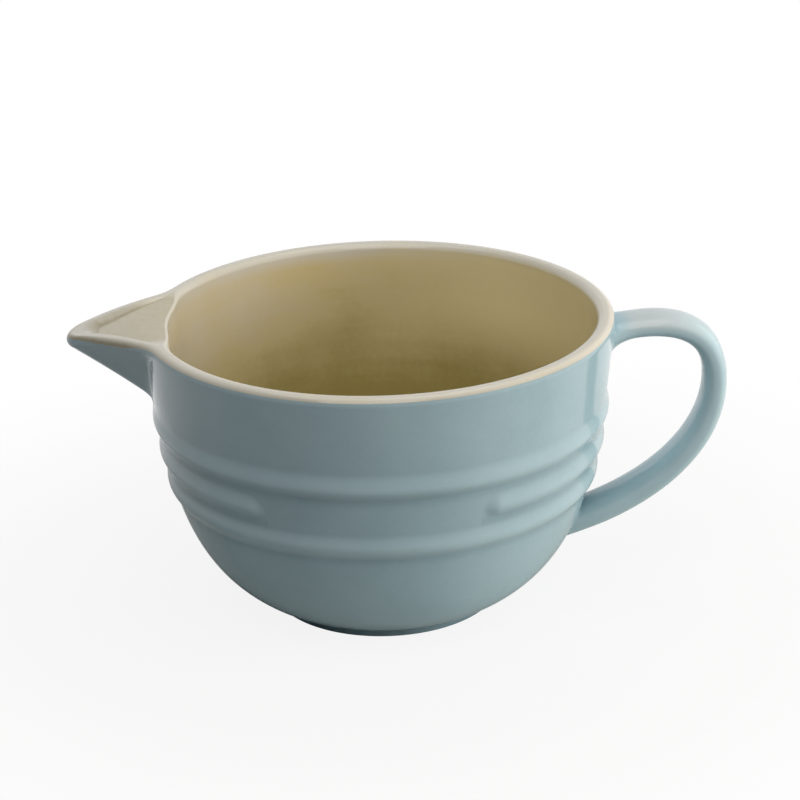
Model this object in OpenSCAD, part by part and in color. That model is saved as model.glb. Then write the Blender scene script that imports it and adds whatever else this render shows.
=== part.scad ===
// Mixing jug of glazed stoneware: a round bowl with three moulded ribs, a beak-shaped pouring
// spout set into its rim and a strap handle luted on opposite the spout.
// Millimetres, +Z up. The origin is on the bowl's axis, on the plane that the foot stands on.
// The spout points along -X and the handle along +X.

/* [Bowl] */
// Outer diameter of the rim
rim_d = 190; // [170:1:215]
// Height of the rim above the table
rim_h = 122; // [114:1:140]
// Thickness of the wall, with the glaze on both sides
wall_t = 7.2; // [6.4:0.1:9]
// Radius of the rounding on the rim and on the spout's lip
rim_round = 3; // [2:0.1:3.1]
// Thickness of the bowl's floor above the foot ring
floor_t = 8; // [6:0.5:11]
// Diameter of the bowl where it meets the foot ring
base_d = 95.4; // [84:0.2:106]
// Radius that the belly's curve is drawn towards
belly_r = 86.4; // [80:0.1:90]
// Height that the belly's curve is drawn towards
belly_z = 21; // [17:0.5:25]
// Radius that the upper wall's curve is drawn towards
upper_r = 89; // [84:0.5:92]
// Height that the upper wall's curve is drawn towards
upper_z = 61; // [54:1:68]
// Thickness of every glaze coat
glaze_t = 0.8; // [0.4:0.1:1.2]

/* [Foot] */
// Height of the foot ring
foot_h = 3; // [2:0.25:5]
// Width of the foot ring
foot_w = 7; // [5:0.5:12]
// How far the foot ring stands inside the bowl's base
foot_inset = 0.5; // [0.4:0.1:1.2]
// Rounding of the foot ring's lower edges, above which its outer side is glazed
foot_round = 0.6; // [0.3:0.1:1.5]

/* [Ribs] */
// Height of the groove under the lowest rib
rib_z = 51.8; // [48:0.2:54]
// Distance between one rib and the next
rib_pitch = 13.35; // [12.2:0.05:14]
// Height of one rib, from its groove to where it fades into the wall
rib_h = 12; // [9:0.5:12]
// How far a rib stands out of the wall
rib_relief = 1.7; // [0.8:0.1:2.4]
// Distance from a rib's groove up to its crest
rib_crest = 4; // [2.5:0.25:5]
// Half of the angle that the middle rib leaves open for the bare panel
panel_angle = 27.5; // [10:0.5:40]
// Turn of the bare panel from the front towards the spout
panel_turn = 2.2; // [-10:0.1:15]

/* [Spout] */
// Reach of the spout beyond the rim
spout_reach = 31; // [24:0.5:36]
// Half angle of the spout's beak, seen from above
beak_angle = 37.2; // [33:0.2:42]
// Radius of the beak's nose, seen from above
nose_r = 9.9; // [6:0.1:13]
// Width of the soft blend between the beak and the rim
beak_blend = 6; // [3:0.5:8]
// Half of the angle of the rim that the spout takes up
spout_angle = 27; // [26:0.5:32]
// Height of the spout, from the rim down to where its underside leaves the wall
spout_h = 38.5; // [30:0.5:42]
// How far the lip drops towards the tip of the spout
lip_drop = 4.5; // [2:0.25:7]
// Depth of the trough where it leaves the bowl
trough_near = 1; // [0.6:0.1:2]
// Depth of the trough towards the spout's tip
trough_far = 2.8; // [2:0.1:5]
// Half of the angle of the inner wall at which the trough has its full depth
trough_angle = 14; // [10:0.5:17]
// Width of the lip beside the trough
lip_w = 3.6; // [3.2:0.1:5]
// Width of the trough's sloping side
slope_w = 3.6; // [2.5:0.1:6]
// How far the wall stands in below the trough
sill = 3.2; // [1:0.2:4]

/* [Handle] */
// Width of the strap
handle_w = 20; // [17:0.5:26]
// Thickness of the strap at its top
handle_top_t = 8.6; // [7:0.1:11]
// Thickness of the strap at its lower end
handle_low_t = 11.8; // [9:0.1:14]
// Reach of the strap's middle line beyond the rim
handle_reach = 41; // [34:0.5:50]
// Distance from the rim down to the strap's middle line at its upper root
handle_drop = 9.1; // [8:0.1:14]
// Distance from the rim down to the height that the strap's top is drawn towards
crown_drop = 5.1; // [0:0.1:9]
// Distance beyond the rim at which the strap's top is drawn up
crown_reach = 18.3; // [12:0.1:26]
// Height of the strap's middle line at its furthest reach
handle_mid_z = 90.5; // [84:0.5:96]
// Height that the strap's outer side is drawn down towards
drop_z = 67; // [60:1:76]
// Distance beyond the rim that the strap's lower sweep is drawn towards
sweep_reach = 21.3; // [12:0.1:26]
// Height that the strap's lower sweep is drawn towards
sweep_z = 42.4; // [38:0.1:48]
// Height of the strap's middle line at its lower root
handle_low_z = 29.4; // [26:0.1:34]
// Widening of the strap where it is luted to the bowl
root_flare = 3; // [1:0.1:6]
// Length of the strap over which it widens
root_len = 13; // [8:0.5:18]

/* [Hidden] */
$fn = 96;
blue = [0.60, 0.70, 0.72];
cream = [0.84, 0.79, 0.69];
clay = [0.79, 0.73, 0.63];
rim_r = rim_d / 2;
base_r = base_d / 2;
foot_r = base_r - foot_inset;
spout_z = rim_h - spout_h;
handle_top_z = rim_h - handle_drop;
crown_z = rim_h - crown_drop;
far = 2 * rim_d;
// turn from the handle to the front of the jug, and all the way round, in degrees
front_turn = 270;
full_turn = 360;
// share of the wall's curve at which the floor's own curve meets it
floor_join = 0.16;
// steps along each stretch of the half section, the spout and the strap
floor_steps = 6;
inner_steps = 16;
belly_steps = 14;
rib_steps = 8;
upper_steps = 6;
round_steps = 3;
sill_steps = 5;
trough_steps = 12;
under_steps = 15;
spout_steps = 34;
handle_steps = 15;
strap_sides = 16;
// angle on the rim's outer rounding at which the cream coat ends and the blue one begins
coat_line = 30;
// angle on the lip's rounding at which the underside of the spout's tip begins
lip_under = 50;
// angle over which the trough fades out beside its full depth
trough_fade = 7;
// angles between which the sill fades into the wall, and its distance from the rim
sill_from = 8;
sill_to = 26;
sill_drop = 8;
// share of the spout's reach at which the trough is deepest
trough_end = 0.6;
// powers that shape the spout's underside, the lip's drop and the strap
under_bow = 1.15;
lip_bow = 2;
strap_square = 2.5;

// Curves
function cubic(p, t) =
    pow(1 - t, 3) * p[0] + 3 * pow(1 - t, 2) * t * p[1] + 3 * (1 - t) * t * t * p[2] + pow(t, 3) * p[3];
function cubic_way(p, t) =
    pow(1 - t, 2) * (p[1] - p[0]) + 2 * (1 - t) * t * (p[2] - p[1]) + t * t * (p[3] - p[2]);
function ease(x, from, to) =
    let (t = min(max((x - from) / (to - from), 0), 1))
    t * t * (3 - 2 * t);
function unit(v) = v / norm(v);
function right_of(v) = [v[1], -v[0]];
function part_of(list, from, to) = [for (i = [from:to]) list[i]];
function tail(list) = part_of(list, 1, len(list) - 1);
function arc(r, z, from, to) = [
    for (i = [0:round_steps])
        let (a = from + (to - from) * i / round_steps)
        [r, z] + rim_round * [cos(a), sin(a)]
];

// Wall of the bowl without its ribs, from the foot up to the rim's rounding
wall_curve = [[base_r, foot_h], [belly_r, belly_z], [upper_r, upper_z], [rim_r, rim_h - rim_round]];
function wall_point(t) = cubic(wall_curve, t);
function inner_point(t) = wall_point(t) - wall_t * right_of(unit(cubic_way(wall_curve, t)));
// place on the outer curve, or on the inner one, at a height
function wall_at(z, a = 0, b = 1, n = 24) =
    let (m = (a + b) / 2)
    n == 0 ? m : wall_point(m)[1] < z ? wall_at(z, m, b, n - 1) : wall_at(z, a, m, n - 1);
function inner_at(z, a = 0, b = 1, n = 24) =
    let (m = (a + b) / 2)
    n == 0 ? m : inner_point(m)[1] < z ? inner_at(z, m, b, n - 1) : inner_at(z, a, m, n - 1);
function inner_r(z) = min(inner_point(inner_at(z))[0], rim_r - wall_t);

// Ribs: each rises from its groove to its crest and then fades upwards into the wall
every_rib = [0, 1, 2];
panel_ribs = [0, 2];
rib_top = rib_z + 2 * rib_pitch + rib_h;
function relief(h) =
    h <= 0 || h >= rib_h ? 0
    : h < rib_crest ? rib_relief * sin(90 * h / rib_crest)
    : rib_relief * (1 + cos(180 * (h - rib_crest) / (rib_h - rib_crest))) / 2;
function outer_r(z, ribs = every_rib) =
    wall_point(wall_at(z))[0] + max([for (i = ribs) relief(z - rib_z - i * rib_pitch)]);

// Half section of the bowl: along the floor, up the inside and over the rim to the end of the cream coat
floor_z = foot_h + floor_t;
floor_end = inner_point(floor_join);
floor_way = cubic_way(wall_curve, floor_join);
floor_bend = [floor_end[0] - (floor_end[1] - floor_z) * floor_way[0] / floor_way[1], floor_z];
function floor_point(t) = pow(1 - t, 2) * [0, floor_z] + 2 * (1 - t) * t * floor_bend + t * t * floor_end;
rim_top = rim_h - rim_round;
inside_path = concat(
    [for (i = [0:floor_steps - 1]) floor_point(i / floor_steps)],
    [for (i = [0:inner_steps - 1]) inner_point(floor_join + (1 - floor_join) * i / inner_steps)],
    arc(rim_r - wall_t + rim_round, rim_top, 180, 90),
    arc(rim_r - rim_round, rim_top, 90, coat_line)
);
// then down the outside, without the middle rib, to the foot
outside_path = concat(
    tail(arc(rim_r - rim_round, rim_top, coat_line, 0)),
    [for (i = [1:upper_steps - 1])
        let (z = rim_top + (rib_top - rim_top) * i / upper_steps)
        [outer_r(z), z]],
    [for (j = [2:-1:0], i = [0:rib_steps])
        let (z = rib_z + j * rib_pitch + rib_h * (1 - i / rib_steps))
        [outer_r(z, panel_ribs), z]],
    [for (i = [1:belly_steps]) wall_point(wall_at(rib_z) * (1 - i / belly_steps))]
);
bowl_path = concat(inside_path, outside_path);
bowl_line = len(inside_path) - 1;

// A path moved into the clay by the thickness of the glaze, with its ends kept at their own height
function inset(p) = [
    for (i = [0:len(p) - 1])
        let (
            way = unit(p[min(i + 1, len(p) - 1)] - p[max(i - 1, 0)]),
            step = glaze_t * right_of(way),
            at_end = i == 0 || i == len(p) - 1
        )
        p[i] + (at_end ? [glaze_t / way[1], 0] : step)
];
// closed outline of a coat between two places on a path and on its inset
function coat(p, q, from, to) = concat(part_of(p, from, to), [for (i = [to:-1:from]) q[i]]);
clay_path = concat([[0, floor_z - glaze_t]], tail(inset(bowl_path)));
clay_section = concat(clay_path, [[0, foot_h]]);
glaze_section = coat(bowl_path, clay_path, bowl_line, len(bowl_path) - 1);
lining_section = coat(bowl_path, clay_path, 0, bowl_line);
foot_section = [
    [foot_r - glaze_t, foot_round],
    [foot_r, foot_round],
    [foot_r, foot_h],
    [foot_r - glaze_t, foot_h]
];

// Solid made by turning a half section through part of a circle
module turned(section, from, to) {
    rotate([0, 0, from])
        rotate_extrude(angle = to - from)
            polygon(section);
}

// Middle rib: a strip over the plain wall that stops at both sides of the bare panel. Its face can be
// drawn in by a skin, and its root lies below the plain wall's face.
middle_z = rib_z + rib_pitch;
panel_middle = front_turn - panel_turn;
skin_turn = glaze_t / upper_r * full_turn / (2 * PI);
module middle_rib(skin, root) {
    heights = [for (i = [0:rib_steps]) middle_z + rib_h * i / rib_steps];
    trim = skin > 0 ? skin_turn : 0;
    turned(
        concat(
            [for (z = part_of(heights, 1, rib_steps - 1)) [outer_r(z, every_rib) - skin, z]],
            [for (i = [rib_steps:-1:0]) [outer_r(heights[i], panel_ribs) - root, heights[i]]]
        ),
        panel_middle + panel_angle + trim,
        panel_middle + full_turn - panel_angle - trim
    );
}

// Space that the spout takes out of the bowl's wall
module spout_notch() {
    translate([0, 0, spout_z])
        linear_extrude(far)
            polygon([[0, 0], for (a = [spout_angle, 0, -spout_angle]) far * [-cos(a), sin(a)]]);
}

// Outline of the spout seen from above: a beak with a round nose that reaches out of the rim
function beak_r(a, reach) =
    let (
        nose_x = rim_r + reach - nose_r,
        beak_x = nose_x + nose_r / sin(beak_angle),
        nose_turn = atan2(nose_r * cos(beak_angle), nose_x + nose_r * sin(beak_angle))
    )
    abs(a) < nose_turn
    ? nose_x * cos(a) + sqrt(pow(nose_r, 2) - pow(nose_x * sin(a), 2))
    : beak_x * sin(beak_angle) / sin(beak_angle + abs(a));
// how far the beak stands out of the rim at an angle from its middle, with a soft blend into the rim
function stand_out(a, reach) =
    let (out = beak_r(a, reach) - rim_r)
    abs(a) >= spout_angle ? 0 : max(out, 0) + pow(max(beak_blend - abs(out), 0), 2) / (4 * beak_blend);
function lip_r(a) = rim_r + stand_out(a, spout_reach);
function jut(a) = stand_out(a, spout_reach) / spout_reach;

// How far the wall stands in below the trough, at an angle from its middle and a height
function sill_in(a, z) =
    sill * (1 - ease(abs(a), sill_from, sill_to)) * ease(z, spout_z, rim_h - sill_drop);
// share of the trough's depth between the lips, at an angle and a radius
function trough_share(a, r) =
    ease((lip_r(a) - r) * sin(beak_angle + abs(a)), lip_w, lip_w + slope_w)
    * (1 - ease(abs(a), trough_angle, trough_angle + trough_fade));
function trough_depth(r) =
    trough_near + (trough_far - trough_near) * ease(r, rim_r - wall_t, rim_r + trough_end * spout_reach);
// height of the lip's top, and of the trough and the rim inside it
function drop_at(out) = lip_drop * pow(max(out, 0) / spout_reach, lip_bow);
function lip_z(a) = rim_h - drop_at(lip_r(a) - rim_r);
function trough_z(a, r) = rim_h - drop_at(r + rim_round - rim_r) - trough_depth(r) * trough_share(a, r);
// Section of the spout at an angle from its middle: up the inside, along the trough and over the lip
function spout_inside(a) =
    let (
        edge_r = rim_r - wall_t - sill_in(a, rim_h) + rim_round,
        edge_z = trough_z(a, edge_r) - rim_round,
        lip_edge = lip_r(a) - rim_round
    )
    concat(
        [for (i = [0:sill_steps - 1])
            let (z = spout_z + (edge_z - spout_z) * i / sill_steps)
            [inner_r(z) - sill_in(a, z), z]],
        arc(edge_r, edge_z, 180, 90),
        [for (i = [1:trough_steps - 1])
            let (r = edge_r + (lip_edge - edge_r) * i / trough_steps)
            [r, trough_z(a, r)]],
        arc(lip_edge, lip_z(a) - rim_round, 90, coat_line)
    );
// share of the lip's stand-out that is left on the underside, where the beak draws back into the wall
function drawn_back(a, s) =
    let (reach = (spout_reach + beak_blend) * pow(s, under_bow) - beak_blend)
    jut(a) == 0 ? 0 : stand_out(a, reach) / stand_out(a, spout_reach);
// then round the lip and back along the underside to the wall
function spout_outside(a) =
    let (
        lip = arc(lip_r(a) - rim_round, lip_z(a) - rim_round, coat_line, -lip_under * jut(a)),
        end = lip[round_steps],
        out = end[0] - outer_r(end[1])
    )
    concat(tail(lip), [
        for (i = [1:under_steps])
            let (s = 1 - i / under_steps, z = spout_z + (end[1] - spout_z) * s)
            [outer_r(z) + out * drawn_back(a, s), z]
    ]);
function spout_path(a) = concat(spout_inside(a), spout_outside(a));
spout_line = len(spout_inside(0)) - 1;
spout_end = len(spout_path(0)) - 1;
function at_angle(section, a) = [for (p = section) [-p[0] * cos(a), p[0] * sin(a), p[1]]];
spout_angles = [for (i = [0:spout_steps]) spout_angle * (2 * i / spout_steps - 1)];

// Triangles that close an end of a row of rings, as a ladder between the two sides of its ring of n points
function end_faces(n) = [
    for (i = [0:floor(n / 2) - 1], second = [false, true])
        let (j = n - 1 - i)
        if (i + 1 < (second ? j - 1 : j))
            second ? [i + 1, j - 1, j] : [i, i + 1, j]
];

// Solid drawn over a row of rings. From the ring's point named back on, the ring runs back along
// a face that it shares with its neighbour, and both split that face's squares the same way. The two
// halves of the row split theirs as mirror images.
module drawn_over(rings, back) {
    n = len(rings[0]);
    last = len(rings) - 1;
    sides = [
        for (j = [0:last - 1], i = [0:n - 1], second = [false, true])
            let (a = j * n + i, b = j * n + (i + 1) % n, c = a + n, d = b + n)
            (i < back) == (2 * j < last)
            ? (second ? [a, d, c] : [a, b, d])
            : (second ? [b, d, c] : [a, b, c])
    ];
    polyhedron(
        points = [for (ring = rings, p = ring) p],
        faces = concat(
            [for (f = end_faces(n)) [f[2], f[1], f[0]]],
            sides,
            [for (f = end_faces(n)) f + last * n * [1, 1, 1]]
        )
    );
}

// Middle line of the strap, in the XZ plane, in two curves that meet at its furthest reach
handle_r = rim_r + handle_reach;
top_root = [outer_r(handle_top_z), handle_top_z];
top_curve = [top_root, [rim_r + crown_reach, crown_z], [handle_r, crown_z], [handle_r, handle_mid_z]];
low_root = [outer_r(handle_low_z), handle_low_z];
low_curve = [[handle_r, handle_mid_z], [handle_r, drop_z], [rim_r + sweep_reach, sweep_z], low_root];
// how far the strap runs on into the bowl, so that the wall's face can end it
top_sunk = wall_t;
low_sunk = handle_low_t + root_flare;
strap_line = concat(
    [[top_root - top_sunk * unit(cubic_way(top_curve, 0)), unit(cubic_way(top_curve, 0))]],
    [for (i = [0:handle_steps - 1])
        let (t = i / handle_steps)
        [cubic(top_curve, t), unit(cubic_way(top_curve, t))]],
    [for (i = [0:handle_steps])
        let (t = i / handle_steps)
        [cubic(low_curve, t), unit(cubic_way(low_curve, t))]],
    [[low_root + low_sunk * unit(cubic_way(low_curve, 1)), unit(cubic_way(low_curve, 1))]]
);
function widening(d) = root_flare * pow(max(0, 1 - d / root_len), 2);
function bulge(v) = sign(v) * pow(abs(v), 2 / strap_square);
function strap_ring(i, skin) =
    let (
        p = strap_line[i][0],
        way = strap_line[i][1],
        along = i / (len(strap_line) - 1),
        sunk = i == 0 || i == len(strap_line) - 1,
        grow = sunk ? root_flare : widening(min(norm(p - top_root), norm(p - low_root))),
        w = handle_w / 2 + grow / 2 - skin,
        t = (handle_top_t + (handle_low_t - handle_top_t) * along) / 2 + grow / 2 - skin
    )
    [
        for (k = [0:strap_sides - 1])
            let (a = full_turn * k / strap_sides, out = t * bulge(cos(a)), side = w * bulge(sin(a)))
            [p[0] - way[1] * out, side, p[1] + way[0] * out]
    ];
function strap_rings(skin) = [for (i = [0:len(strap_line) - 1]) strap_ring(i, skin)];
module strap(skin) {
    drawn_over(strap_rings(skin), strap_sides);
}

// Everything inside the outer face of the bowl, and the upper half of space
module bowl_space() {
    turned(concat([[0, rim_h], [rim_r - rim_round, rim_h]], outside_path, [[0, foot_h]]), 0, full_turn);
}
module above_middle() {
    translate([0, -far / 2, handle_mid_z])
        cube(far);
}

module stoneware_bowl() {
    color(clay)
        difference() {
            union() {
                turned(clay_section, 0, full_turn);
                middle_rib(glaze_t, 2 * glaze_t);
            }
            spout_notch();
        }
}

module foot_ring() {
    color(clay)
        turned([
            [foot_r - foot_w, foot_h],
            [foot_r - foot_w, foot_round],
            [foot_r - foot_w + foot_round, 0],
            [foot_r - foot_round, 0],
            [foot_r, foot_round],
            [foot_r - glaze_t, foot_round],
            [foot_r - glaze_t, foot_h]
        ], 0, full_turn);
}

module stoneware_spout() {
    color(clay)
        drawn_over([for (a = spout_angles) at_angle(inset(spout_path(a)), a)], spout_end + 1);
}

module stoneware_handle() {
    color(clay)
        difference() {
            strap(glaze_t);
            bowl_space();
        }
}

module upper_slip_joint() {
    color(clay)
        intersection() {
            turned(glaze_section, -90, 90);
            strap(0);
            above_middle();
        }
}

module lower_slip_joint() {
    color(clay)
        difference() {
            intersection() {
                turned(glaze_section, -90, 90);
                strap(0);
            }
            above_middle();
        }
}

module bowl_glaze() {
    color(blue)
        difference() {
            union() {
                turned(glaze_section, 0, full_turn);
                turned(foot_section, 0, full_turn);
                middle_rib(0, glaze_t / 2);
            }
            middle_rib(glaze_t, 2 * glaze_t);
            spout_notch();
            strap(0);
        }
}

module spout_glaze() {
    color(blue)
        drawn_over(
            [for (a = spout_angles)
                at_angle(coat(spout_path(a), inset(spout_path(a)), spout_line, spout_end), a)],
            spout_end - spout_line
        );
}

module handle_glaze() {
    color(blue)
        difference() {
            strap(0);
            strap(glaze_t);
            bowl_space();
        }
}

module bowl_lining() {
    color(cream)
        difference() {
            turned(lining_section, 0, full_turn);
            spout_notch();
        }
}

module spout_lining() {
    color(cream)
        drawn_over(
            [for (a = spout_angles) at_angle(coat(spout_path(a), inset(spout_path(a)), 0, spout_line), a)],
            spout_line
        );
}

stoneware_bowl();
foot_ring();
stoneware_spout();
stoneware_handle();
upper_slip_joint();
lower_slip_joint();
bowl_glaze();
spout_glaze();
handle_glaze();
bowl_lining();
spout_lining();
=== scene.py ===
"""A stoneware mixing jug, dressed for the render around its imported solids.

The wall, the ribs, the spout, the foot and the handle follow the sizes of the solids, in millimetres, and
each mesh is turned to metres where it is made. Angles round the jug are in degrees from the spout.
"""

from __future__ import annotations

import logging
import math
from dataclasses import dataclass, field
from enum import Enum
from functools import cached_property

import bpy
import numpy as np
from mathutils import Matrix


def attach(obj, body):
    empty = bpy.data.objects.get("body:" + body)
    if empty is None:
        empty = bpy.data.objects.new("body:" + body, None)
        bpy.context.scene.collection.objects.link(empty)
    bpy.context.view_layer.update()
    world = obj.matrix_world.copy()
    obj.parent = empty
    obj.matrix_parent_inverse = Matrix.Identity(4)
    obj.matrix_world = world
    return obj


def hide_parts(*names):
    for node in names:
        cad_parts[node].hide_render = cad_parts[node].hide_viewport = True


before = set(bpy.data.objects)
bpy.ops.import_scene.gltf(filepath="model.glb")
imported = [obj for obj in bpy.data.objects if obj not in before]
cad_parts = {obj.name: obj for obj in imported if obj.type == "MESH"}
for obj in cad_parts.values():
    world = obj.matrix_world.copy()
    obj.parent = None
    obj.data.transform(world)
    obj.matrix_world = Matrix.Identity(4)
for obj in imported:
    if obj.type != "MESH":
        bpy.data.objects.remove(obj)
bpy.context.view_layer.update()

LOG = logging.getLogger("mixing_jug")
MM = 0.001
BODY = "root"
WHITE = (1.0, 1.0, 1.0, 1.0)
# Lengths and shares below this count as nothing.
HAIR = 1e-6
# The least length that a normal is divided by.
LEAST_NORMAL = 1e-9
# Colour sockets of Blender's Mix node, whose names repeat.
MIX_FIRST, MIX_SECOND, MIX_RESULT = 6, 7, 2


class Slot(Enum):
    """Material slots, listed with the bowl's pieces but not applied to them."""

    BARE = "bare_stoneware"
    BLUE = "blue_glaze"
    CREAM = "cream_glaze"


class Trait(Enum):
    """Values that a mesh carries at its points for its glaze. The pool value also carries painted shade, and
    the pale value is painted light.
    """

    POOL_AND_SHADE = "glaze_pool_and_shade"
    EDGE = "glaze_edge"
    PAINTED_LIGHT = "glaze_painted_light"


def linear(hex_code: str) -> tuple[float, float, float, float]:
    """Turns an sRGB hex colour into a linear one.

    Args:
        hex_code: Colour such as "9CB6BE".

    Returns:
        Linear red, green, blue and an alpha of 1.
    """
    parts = [int(hex_code[i : i + 2], 16) / 255 for i in (0, 2, 4)]
    red, green, blue = (c / 12.92 if c <= 0.04045 else ((c + 0.055) / 1.055) ** 2.4 for c in parts)
    return (red, green, blue, 1.0)


def add_node(tree: bpy.types.NodeTree, kind: str, inputs: dict | None = None, **settings) -> bpy.types.Node:
    """Adds a node with its settings, and fills or links its sockets.

    Args:
        tree: Node tree that takes the node.
        kind: Blender's name of the node's class.
        inputs: Socket names or numbers, each with a value or with a socket to link from.
        settings: Properties of the node itself.

    Returns:
        The new node.
    """
    node = tree.nodes.new(kind)
    for name, value in settings.items():
        setattr(node, name, value)
    for socket, value in (inputs or {}).items():
        if isinstance(value, bpy.types.NodeSocket):
            tree.links.new(value, node.inputs[socket])
        else:
            node.inputs[socket].default_value = value
    return node


def new_material(name: str) -> bpy.types.Material:
    """Starts a material with an empty node tree.

    Args:
        name: Name of the material.

    Returns:
        The material.
    """
    material = bpy.data.materials.new(name)
    material.use_nodes = True
    material.node_tree.nodes.clear()
    return material


def smooth_step(low: float, high: float, value: np.ndarray) -> np.ndarray:
    """Eases from 0 at low to 1 at high.

    Args:
        low: Value where the step starts.
        high: Value where the step ends.
        value: Values to ease.

    Returns:
        The eased values.
    """
    t = np.clip((value - low) / (high - low), 0.0, 1.0)
    return t * t * (3.0 - 2.0 * t)


def bezier(points: np.ndarray, t: np.ndarray) -> np.ndarray:
    """Follows a Bezier curve of any degree.

    Args:
        points: Control points, one a row.
        t: Places on the curve, from 0 to 1.

    Returns:
        One point a row.
    """
    level = np.asarray(points, float)[:, None, :] * np.ones((1, len(t), 1))
    while len(level) > 1:
        level = level[:-1] + (level[1:] - level[:-1]) * t[None, :, None]
    return level[0]


@dataclass(frozen=True)
class JugForm:
    """Sizes of the jug and the curves that they give, in millimetres and degrees."""

    rim_d: float = 190.0
    rim_h: float = 122.0
    wall_t: float = 7.2
    rim_round: float = 3.0
    floor_t: float = 8.0
    base_d: float = 95.4
    belly_r: float = 86.4
    belly_z: float = 21.0
    upper_r: float = 89.0
    upper_z: float = 61.0
    curve_steps: int = 4001
    foot_h: float = 3.0
    foot_w: float = 7.0
    foot_inset: float = 0.5
    coat_line: float = 30.0
    coat_t: float = 0.8
    rib_count: int = 3
    rib_z: float = 51.8
    rib_pitch: float = 13.35
    rib_h: float = 12.0
    rib_relief: float = 1.7
    rib_crest: float = 4.8
    rib_steepness: float = 1.8
    rib_end: float = 10.0
    rib_end_rise: float = 0.8
    rib_end_least: float = 0.02
    panel_half: float = 27.5
    panel_mid: float = -87.8
    spout_reach: float = 31.0
    beak_angle: float = 37.2
    nose_r: float = 9.9
    beak_blend: float = 4.2
    crease_blend: float = 0.4
    crease_power: int = 8
    keel_half: float = 15.0
    spout_half: float = 27.0
    spout_h: float = 38.5
    lip_drop: float = 4.5
    lip_bow: float = 2.0
    lip_under: float = 50.0
    under_bow: float = 1.15
    floor_join: float = 0.16

    @property
    def rim_r(self) -> float:
        """Radius of the rim."""
        return self.rim_d / 2

    @property
    def bore_r(self) -> float:
        """Radius of the inside at the rim."""
        return self.rim_r - self.wall_t

    @property
    def spout_z(self) -> float:
        """Height where the spout's keel leaves the wall."""
        return self.rim_h - self.spout_h

    @property
    def foot_r(self) -> float:
        """Outer radius of the foot ring."""
        return self.base_d / 2 - self.foot_inset

    @cached_property
    def wall_curve(self) -> np.ndarray:
        """Control points of the outside.

        Returns:
            Radii and heights, from the base to the rim.
        """
        return np.array(
            [
                (self.base_d / 2, self.foot_h),
                (self.belly_r, self.belly_z),
                (self.upper_r, self.upper_z),
                (self.rim_r, self.rim_h - self.rim_round),
            ]
        )

    @cached_property
    def outer_table(self) -> np.ndarray:
        """Points of the plain outside, in rising order."""
        return bezier(self.wall_curve, np.linspace(0.0, 1.0, self.curve_steps))

    @cached_property
    def inner_table(self) -> np.ndarray:
        """Points of the inside, a wall's thickness in from the plain outside.

        Returns:
            Radii and heights, in rising order.
        """
        along = np.gradient(self.outer_table, axis=0)
        along /= np.linalg.norm(along, axis=1, keepdims=True)
        return self.outer_table - self.wall_t * np.stack([along[:, 1], -along[:, 0]], axis=1)

    def wall_r(self, z: np.ndarray) -> np.ndarray:
        """Radius of the plain outside at a height."""
        return np.interp(z, self.outer_table[:, 1], self.outer_table[:, 0])

    def inner_r(self, z: np.ndarray) -> np.ndarray:
        """Radius of the inside at a height."""
        radius = np.interp(z, self.inner_table[:, 1], self.inner_table[:, 0])
        return np.minimum(radius, self.bore_r)

    def below_rim(self, start: float, full: float, z: np.ndarray) -> np.ndarray:
        """Eases from 0 at one depth below the rim to 1 at another."""
        return smooth_step(self.rim_h - start, self.rim_h - full, z)

    def rib_profile(self, h: np.ndarray) -> np.ndarray:
        """Relief of a rib, steep below the crest and fading above it.

        Args:
            h: Heights above the rib's lower edge.

        Returns:
            Heights above the plain wall.
        """
        rise = np.sin(np.pi / 2 * np.clip(h / self.rib_crest, 0.0, 1.0)) ** self.rib_steepness
        above = np.clip((h - self.rib_crest) / (self.rib_h - self.rib_crest), 0.0, 1.0)
        return self.rib_relief * rise * (1.0 + np.cos(np.pi * above)) / 2

    def relief(self, z: np.ndarray, a: np.ndarray) -> np.ndarray:
        """Height of the ribs above the plain wall.

        Args:
            z: Heights.
            a: Angles from the spout.

        Returns:
            The relief, where the middle rib leaves the panel bare and has round ends there.
        """
        total = np.zeros(np.broadcast(z, a).shape)
        for i in range(self.rib_count):
            h = z - self.rib_z - i * self.rib_pitch
            if i == self.rib_count // 2:
                beyond = (np.abs(a - self.panel_mid) - self.panel_half) * np.pi / 180 * self.rim_r
                short = 1.0 - np.clip(beyond / self.rib_end, 0.0, 1.0)
                narrow = np.sqrt(np.clip(1.0 - short**2, 0.0, 1.0))
                squeezed = self.rib_crest + (h - self.rib_crest) / np.maximum(narrow, self.rib_end_least)
                rib = self.rib_profile(squeezed) * smooth_step(0.0, self.rib_end_rise, 1.0 - short)
            else:
                rib = self.rib_profile(h) * np.ones_like(a)
            total = np.maximum(total, rib)
        return total

    def outer_r(self, z: np.ndarray, a: np.ndarray) -> np.ndarray:
        """Radius of the ribbed outside."""
        return self.wall_r(z) + self.relief(z, a)

    def beak_r(self, a: np.ndarray, reach: np.ndarray) -> np.ndarray:
        """Radius of the beak's outline.

        Args:
            a: Angles from the spout.
            reach: How far the beak stands out of the rim.

        Returns:
            The outline of two straight sides with a round nose.
        """
        turn = np.radians(np.abs(a))
        side = math.radians(self.beak_angle)
        nose_x = self.rim_r + reach - self.nose_r
        beak_x = nose_x + self.nose_r / math.sin(side)
        nose_turn = np.arctan2(self.nose_r * math.cos(side), nose_x + self.nose_r * math.sin(side))
        root = np.sqrt(np.maximum(self.nose_r**2 - (nose_x * np.sin(turn)) ** 2, 0.0))
        round_nose = nose_x * np.cos(turn) + root
        straight = beak_x * math.sin(side) / np.sin(side + turn)
        return np.where(turn < nose_turn, round_nose, straight)

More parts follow.
